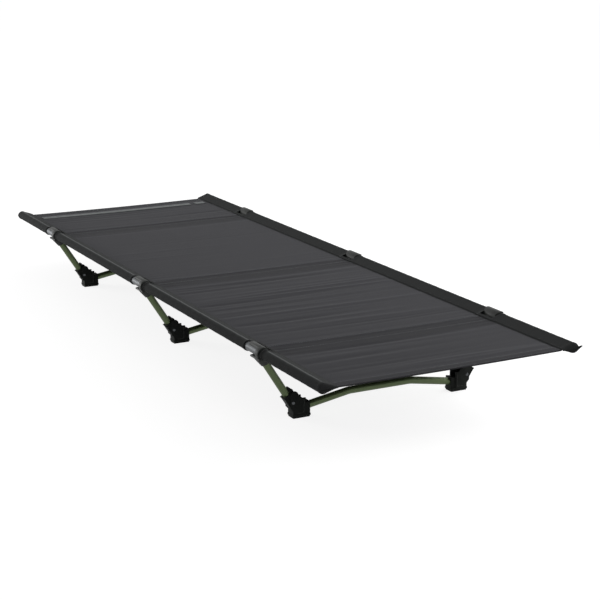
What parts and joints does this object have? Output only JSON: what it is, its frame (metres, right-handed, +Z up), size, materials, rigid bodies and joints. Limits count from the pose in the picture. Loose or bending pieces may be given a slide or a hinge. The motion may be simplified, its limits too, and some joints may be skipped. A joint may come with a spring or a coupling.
{
  "type": "camping cot",
  "caption": "Low camping cot: a taut cloth deck sleeved onto side poles, clipped to lean-out struts that lock by levers in foot blocks on low bow tubes.",
  "frame": {"origin": "centre of the bounding box's bottom face, on the ground under the middle of the cot", "axes": "+X towards the foot end, -Y the near side, +Z up"},
  "size_m": [1.9036, 0.6502, 0.1806],
  "materials": {
    "deck_cloth": "charcoal plain weave, taut",
    "sleeve_cloth": "darker charcoal weave, doubled at the seam",
    "webbing": "light grey woven strap",
    "silver_pole": "drawn and anodised, satin",
    "leg_tube": "olive anodised aluminium tube, satin",
    "black_moulding": "glass-filled moulding with a fine texture",
    "rubber_pad": "matt black sole",
    "bright_steel": "bright rivet",
    "elastic": "white braided shock cord"
  },
  "bodies": {
    "base": {"deck_panel": "deck_cloth", "head_webbing_long": "webbing", "head_webbing_short": "webbing", "bow_head": "leg_tube", "bow_mid": "leg_tube", "bow_tail": "leg_tube", "foot_block_head_near": "black_moulding", "foot_pad_head_near": "rubber_pad", "hinge_pin_head_near": "bright_steel", "foot_block_mid_near": "black_moulding", "foot_pad_mid_near": "rubber_pad", "hinge_pin_mid_near": "bright_steel", "foot_block_tail_near": "black_moulding", "foot_pad_tail_near": "rubber_pad", "hinge_pin_tail_near": "bright_steel", "foot_block_head_far": "black_moulding", "foot_pad_head_far": "rubber_pad", "hinge_pin_head_far": "bright_steel", "foot_block_mid_far": "black_moulding", "foot_pad_mid_far": "rubber_pad", "hinge_pin_mid_far": "bright_steel", "foot_block_tail_far": "black_moulding", "foot_pad_tail_far": "rubber_pad", "hinge_pin_tail_far": "bright_steel"},
    "near_side": {"strut_head_near": "leg_tube", "lever_head_near": "black_moulding", "pole_clip_head_near": "black_moulding", "strut_mid_near": "leg_tube", "lever_mid_near": "black_moulding", "pole_clip_mid_near": "black_moulding", "strut_tail_near": "leg_tube", "lever_tail_near": "black_moulding", "pole_clip_tail_near": "black_moulding", "pole_near_1": "silver_pole", "pole_near_2": "silver_pole", "pole_near_3": "silver_pole", "pole_cap_head_near": "black_moulding", "pole_cap_tail_near": "black_moulding", "pole_cord_near": "elastic", "sleeve_near": "sleeve_cloth"},
    "far_side": {"strut_head_far": "leg_tube", "lever_head_far": "black_moulding", "pole_clip_head_far": "black_moulding", "strut_mid_far": "leg_tube", "lever_mid_far": "black_moulding", "pole_clip_mid_far": "black_moulding", "strut_tail_far": "leg_tube", "lever_tail_far": "black_moulding", "pole_clip_tail_far": "black_moulding", "pole_far_1": "silver_pole", "pole_far_2": "silver_pole", "pole_far_3": "silver_pole", "pole_cap_head_far": "black_moulding", "pole_cap_tail_far": "black_moulding", "pole_cord_far": "elastic", "sleeve_far": "sleeve_cloth"}
  },
  "joints": [
    {"name": "near_side_fold", "type": "hinge", "parent": "base", "child": "near_side", "pos_m": [0, -0.228, 0.037], "axis": [-1, 0, 0], "range_deg": [0, 95], "deforming": ["deck_panel", "head_webbing_long", "head_webbing_short"]},
    {"name": "far_side_fold", "type": "hinge", "parent": "base", "child": "far_side", "pos_m": [0, 0.228, 0.037], "axis": [1, 0, 0], "range_deg": [0, 95], "deforming": ["deck_panel", "head_webbing_long", "head_webbing_short"]}
  ]
}
